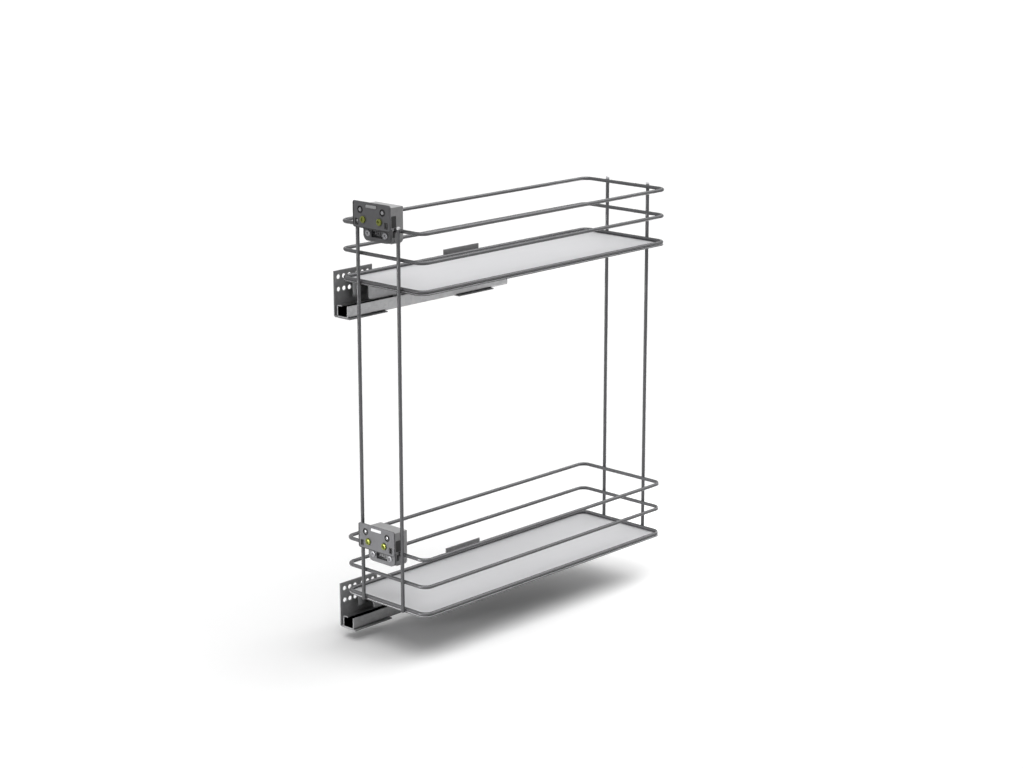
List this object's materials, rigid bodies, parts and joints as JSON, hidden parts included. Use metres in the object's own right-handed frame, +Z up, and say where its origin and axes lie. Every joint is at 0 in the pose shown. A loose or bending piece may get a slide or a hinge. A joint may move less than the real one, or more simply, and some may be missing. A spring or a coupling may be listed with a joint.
{
  "type": "pull-out cabinet basket",
  "caption": "Narrow two-tier wire basket that pulls out of a cabinet on side-mounted telescopic runners, with brackets for the cabinet front.",
  "frame": {"origin": "middle of the six front screw holes of the lower front bracket, on the bracket's face against the cabinet side", "axes": "+X away from the cabinet side, +Y into the cabinet, so the basket pulls out along -Y, +Z up"},
  "size_m": [0.162, 0.5062, 0.5924],
  "materials": {
    "wire_coating": "satin graphite powder coat",
    "shelf_coating": "smooth light grey coating",
    "rail_steel": "zinc plated, roll formed",
    "bracket_steel": "zinc plated, folded",
    "cast_housing": "satin coated die casting",
    "plate_coating": "satin coated steel plate",
    "yellow_screw_steel": "yellow passivated zinc",
    "clamp_screw_steel": "bright zinc",
    "cage_plastic": "natural",
    "roller_plastic": "natural, hard",
    "bumper_rubber": "matt black"
  },
  "bodies": {
    "cabinet side": {"lower_front_bracket": "bracket_steel", "lower_rear_bracket": "bracket_steel", "lower_cabinet_rail": "rail_steel", "lower_rail_bumper": "bumper_rubber", "upper_front_bracket": "bracket_steel", "upper_rear_bracket": "bracket_steel", "upper_cabinet_rail": "rail_steel", "upper_rail_bumper": "bumper_rubber"},
    "basket": {"lower_carriage": "rail_steel", "lower_carriage_studs": "clamp_screw_steel", "lower_shelf": "shelf_coating", "lower_rim_wire": "wire_coating", "lower_middle_ring": "wire_coating", "lower_top_ring": "wire_coating", "lower_bracket_housing": "cast_housing", "lower_bracket_clamp": "cast_housing", "lower_clamp_screws": "clamp_screw_steel", "lower_door_screws": "yellow_screw_steel", "upper_carriage": "rail_steel", "upper_carriage_studs": "clamp_screw_steel", "upper_shelf": "shelf_coating", "upper_rim_wire": "wire_coating", "upper_middle_ring": "wire_coating", "upper_top_ring": "wire_coating", "upper_bracket_housing": "cast_housing", "upper_bracket_clamp": "cast_housing", "upper_clamp_screws": "clamp_screw_steel", "upper_door_screws": "yellow_screw_steel", "front_left_upright": "wire_coating", "front_right_upright": "wire_coating", "rear_left_upright": "wire_coating", "rear_right_upright": "wire_coating"},
    "lower middle rail": {"lower_middle_rail": "rail_steel"},
    "lower outer cage": {"lower_outer_cage": "cage_plastic", "lower_outer_rollers": "roller_plastic"},
    "lower inner cage": {"lower_inner_cage": "cage_plastic", "lower_inner_rollers": "roller_plastic"},
    "lower door plate": {"lower_door_plate": "plate_coating"},
    "upper middle rail": {"upper_middle_rail": "rail_steel"},
    "upper outer cage": {"upper_outer_cage": "cage_plastic", "upper_outer_rollers": "roller_plastic"},
    "upper inner cage": {"upper_inner_cage": "cage_plastic", "upper_inner_rollers": "roller_plastic"},
    "upper door plate": {"upper_door_plate": "plate_coating"}
  },
  "joints": [
    {"name": "pull_out", "type": "slide", "parent": "cabinet side", "child": "basket", "axis": [0, -1, 0], "range_m": [0, 0.4]},
    {"name": "lower_middle_rail_slide", "type": "slide", "parent": "cabinet side", "child": "lower middle rail", "axis": [0, -1, 0], "range_m": [0, 0.2]},
    {"name": "lower_outer_cage_slide", "type": "slide", "parent": "cabinet side", "child": "lower outer cage", "axis": [0, -1, 0], "range_m": [0, 0.1]},
    {"name": "lower_inner_cage_slide", "type": "slide", "parent": "cabinet side", "child": "lower inner cage", "axis": [0, -1, 0], "range_m": [0, 0.3]},
    {"name": "lower_door_plate_adjust", "type": "slide", "parent": "basket", "child": "lower door plate", "axis": [0, 0, 1], "range_m": [-0.002, 0.002]},
    {"name": "upper_middle_rail_slide", "type": "slide", "parent": "cabinet side", "child": "upper middle rail", "axis": [0, -1, 0], "range_m": [0, 0.2]},
    {"name": "upper_outer_cage_slide", "type": "slide", "parent": "cabinet side", "child": "upper outer cage", "axis": [0, -1, 0], "range_m": [0, 0.1]},
    {"name": "upper_inner_cage_slide", "type": "slide", "parent": "cabinet side", "child": "upper inner cage", "axis": [0, -1, 0], "range_m": [0, 0.3]},
    {"name": "upper_door_plate_adjust", "type": "slide", "parent": "basket", "child": "upper door plate", "axis": [0, 0, 1], "range_m": [-0.002, 0.002]}
  ],
  "couplings": [
    {"joint": "lower_middle_rail_slide", "follows": "pull_out", "ratio": 0.5},
    {"joint": "lower_outer_cage_slide", "follows": "pull_out", "ratio": 0.25},
    {"joint": "lower_inner_cage_slide", "follows": "pull_out", "ratio": 0.75},
    {"joint": "upper_middle_rail_slide", "follows": "pull_out", "ratio": 0.5},
    {"joint": "upper_outer_cage_slide", "follows": "pull_out", "ratio": 0.25},
    {"joint": "upper_inner_cage_slide", "follows": "pull_out", "ratio": 0.75}
  ]
}
